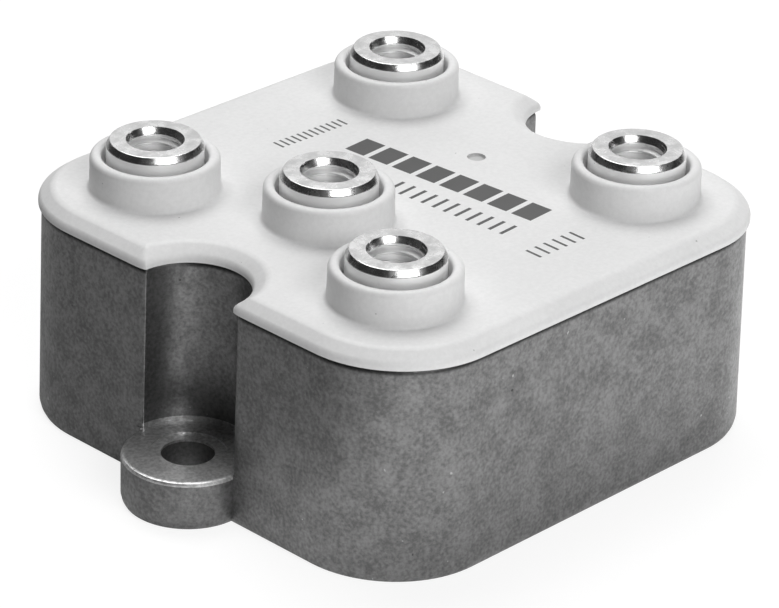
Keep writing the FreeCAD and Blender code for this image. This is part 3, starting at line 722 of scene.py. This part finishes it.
def plated_brass():
    """Bright plating, a little cloudy, with small pits, and duller below the turned bevel, where a
    lighter grey is painted as a reflection of the light collar.
    """
    finish = Finish("plated_brass")
    height = finish.axes()[2]
    below = height < TERMINAL_TOP - BEVEL_HEIGHT - DULL_GAP
    cloud = finish.noise(PLATING_CLOUD, detail=4.0, roughness=0.6)
    fine = finish.noise(PLATING_FINE)
    pit = finish.fade(finish.noise(PLATING_PIT, detail=1.0), 0.22, 0.18)
    colour = finish.mix(finish.fade(cloud, 0.3, 0.7), PLATING_DARK, PLATING_LIGHT)
    # Below the bevel the sleeve is painted lighter, a painted reflection of the light collar
    colour = finish.mix(below, colour, SLEEVE_PAINTED_REFLECTION)
    colour = finish.mix(pit * 0.6, colour, TARNISH)
    rough = finish.fade(cloud, 0.3, 0.7, low=0.20, high=0.30) + below * DULL_ROUGHNESS
    skin = finish.bump(fine, PLATING_RELIEF, under=finish.bump(cloud, PLATING_WAVE))
    return finish.surface(Base_Color=colour, Metallic=1.0, Roughness=rough, Normal=skin)


# Inner finishes: sizes in millimetres, and how far a metal's roughness strays

INNER_METAL_CLOUD = 1.2
INNER_RELIEF = 0.01
INNER_SPREAD = 0.06


def inner_metal(name, dark, light, roughness):
    """Metal that clouds between two colours, with its roughness."""
    finish = Finish(name)
    cloud = finish.noise(INNER_METAL_CLOUD, detail=4.0, roughness=0.6)
    colour = finish.mix(finish.fade(cloud, 0.3, 0.7), (*dark, 1.0), (*light, 1.0))
    rough = finish.fade(cloud, 0.3, 0.7,
                        low=roughness - INNER_SPREAD, high=roughness + INNER_SPREAD)
    return finish.surface(Base_Color=colour, Metallic=1.0, Roughness=rough,
                          Normal=finish.bump(cloud, INNER_RELIEF))


def inner_solid(name, dark, light, roughness, size):
    """A solid that clouds between two colours, over patches of one size."""
    finish = Finish(name)
    cloud = finish.noise(size, detail=4.0, roughness=0.6)
    colour = finish.mix(finish.fade(cloud, 0.3, 0.7), (*dark, 1.0), (*light, 1.0))
    return finish.surface(Base_Color=colour, Roughness=roughness,
                          Normal=finish.bump(cloud, INNER_RELIEF))


# The inner pieces keep their solids and get their finishes

def dress_inner_pieces():
    finishes = {
        "ceramic": inner_solid("ceramic", (0.72, 0.71, 0.68), (0.82, 0.81, 0.78), 0.55, 0.6),
        "copper": inner_metal("copper", (0.60, 0.26, 0.15), (0.78, 0.40, 0.25), 0.32),
        "silvered_copper": inner_metal("silvered_copper", (0.66, 0.65, 0.63), (0.80, 0.79, 0.77),
                                       0.3),
        "silicon": inner_solid("silicon", (0.05, 0.055, 0.07), (0.09, 0.095, 0.12), 0.25, 0.8),
        "gel": inner_solid("gel", (0.55, 0.56, 0.58), (0.66, 0.67, 0.69), 0.22, 3.0),
        "resin": inner_solid("resin", (0.035, 0.035, 0.035), (0.06, 0.06, 0.06), 0.45, 0.9),
    }
    starts = {
        "ceramic_plate": "ceramic",
        "track_": "copper",
        "diode_": "silicon",
        "disc_": "silvered_copper",
        "input_link_": "copper",
        "minus_link_": "copper",
        "riser_": "copper",
        "minus_bus": "copper",
        "soft_gel": "gel",
        "casting_resin": "resin",
    }
    for name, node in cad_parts.items():
        slot = next((slot for start, slot in starts.items() if name.startswith(start)), None)
        if slot:
            node.data.materials.clear()
            node.data.materials.append(finishes[slot])


# Camera: places in millimetres and roll in degrees

CAMERA_PLACE = Vector((-246.74, -234.30, 182.43))
CAMERA_TARGET = Vector((-0.267, -1.172, 11.0))
CAMERA_ROLL = 1.967
LENS = 193.72
SHIFT_X = -0.0122
SHIFT_Y = 0.0004

# Floor: reach in metres, and in millimetres its gap below the foot and where it starts to darken

FLOOR_REACH = 3.0
FLOOR_GAP = 0.02
FLOOR_ROUGHNESS = 0.9
DARK_START = 12.0
DARK_FULL = 54.0
FLOOR_LIGHT = grey(0.95)
FLOOR_DARK = grey(0.32)
FLOOR_GLOW = 0.26
SEEN_PAINT = grey(0.96)
SEEN_GLOW = 1.1
SEEN_GLOW_SHARE = 0.75

# Lights: azimuth and elevation in degrees, then distance, width and height in metres, and watts

SOFT_BOXES = {
    "soft_box": (-16, 36, 0.6, 0.38, 0.28, 2.0),
    "backdrop": (134, 25, 0.7, 0.9, 0.6, 1.4),
    "overhead": (150, 66, 0.75, 0.6, 0.5, 4.0),
}
WORLD_LIGHT = 0.03


def make_camera():
    camera = bpy.data.cameras.new("camera")
    camera.lens = LENS
    camera.shift_x = SHIFT_X
    camera.shift_y = SHIFT_Y
    camera.clip_start = 0.01
    camera.clip_end = 20
    holder = bpy.data.objects.new("camera", camera)
    bpy.context.scene.collection.objects.link(holder)
    aim = (CAMERA_TARGET - CAMERA_PLACE).to_track_quat("-Z", "Y").to_matrix().to_4x4()
    roll = Matrix.Rotation(math.radians(CAMERA_ROLL), 4, "Z")
    holder.matrix_world = Matrix.Translation(CAMERA_PLACE * MM) @ aim @ roll
    bpy.context.scene.camera = holder


def make_floor():
    """White to the camera apart from soft shadows, and mirrored darker on the object's left."""
    finish = Finish("floor_paint")
    x, y = finish.axes()[:2]
    tone = finish.mix(finish.fade(y - x, DARK_START, DARK_FULL), FLOOR_LIGHT, FLOOR_DARK)
    paint = finish.node("ShaderNodeBsdfPrincipled", inputs={
        "Base Color": tone,
        "Roughness": FLOOR_ROUGHNESS,
        "Emission Color": tone,
        "Emission Strength": FLOOR_GLOW,
    })
    white = finish.node("ShaderNodeBsdfDiffuse", inputs={"Color": SEEN_PAINT})
    glow = finish.node("ShaderNodeEmission", inputs={"Color": grey(1.0), "Strength": SEEN_GLOW})
    seen = finish.node("ShaderNodeMixShader", inputs={0: SEEN_GLOW_SHARE, 1: white, 2: glow})
    to_camera = finish.node("ShaderNodeLightPath", output="Is Camera Ray")
    shader = finish.node("ShaderNodeMixShader", inputs={0: to_camera, 1: paint, 2: seen})
    finish.node("ShaderNodeOutputMaterial", inputs={"Surface": shader})
    bm = bmesh.new()
    bmesh.ops.create_grid(bm, x_segments=1, y_segments=1, size=FLOOR_REACH)
    mesh = bpy.data.meshes.new("floor")
    bm.to_mesh(mesh)
    bm.free()
    mesh.materials.append(finish.material)
    floor = bpy.data.objects.new("floor", mesh)
    floor.location.z = (case_low.z - FLOOR_GAP) * MM
    bpy.context.scene.collection.objects.link(floor)


def make_light(name, azimuth, elevation, distance, width, height, power):
    """A soft box that faces the object; azimuth 0 is in front of the plain side."""
    light = bpy.data.lights.new(name, "AREA")
    light.shape = "RECTANGLE"
    light.size = width
    light.size_y = height
    light.energy = power
    turn = math.radians(azimuth)
    lift = math.radians(elevation)
    place = Vector((math.sin(turn) * math.cos(lift), -math.cos(turn) * math.cos(lift),
                    math.sin(lift))) * distance
    holder = bpy.data.objects.new(name, light)
    holder.location = place
    holder.rotation_euler = (-place).to_track_quat("-Z", "Y").to_euler()
    bpy.context.scene.collection.objects.link(holder)


def make_studio():
    world = bpy.data.worlds.new("studio")
    world.use_nodes = True
    background = world.node_tree.nodes["Background"]
    background.inputs["Color"].default_value = grey(1.0)
    background.inputs["Strength"].default_value = WORLD_LIGHT
    bpy.context.scene.world = world
    for name, placing in SOFT_BOXES.items():
        make_light(name, *placing)
    bpy.context.scene.view_settings.view_transform = "Standard"


metal = cast_metal()
plastic = cover_plastic()
brass = plated_brass()
make_case(metal)
make_cover(plastic)
for terminal in TERMINALS:
    make_terminal(terminal, brass)
dress_inner_pieces()
make_floor()
make_studio()
make_camera()
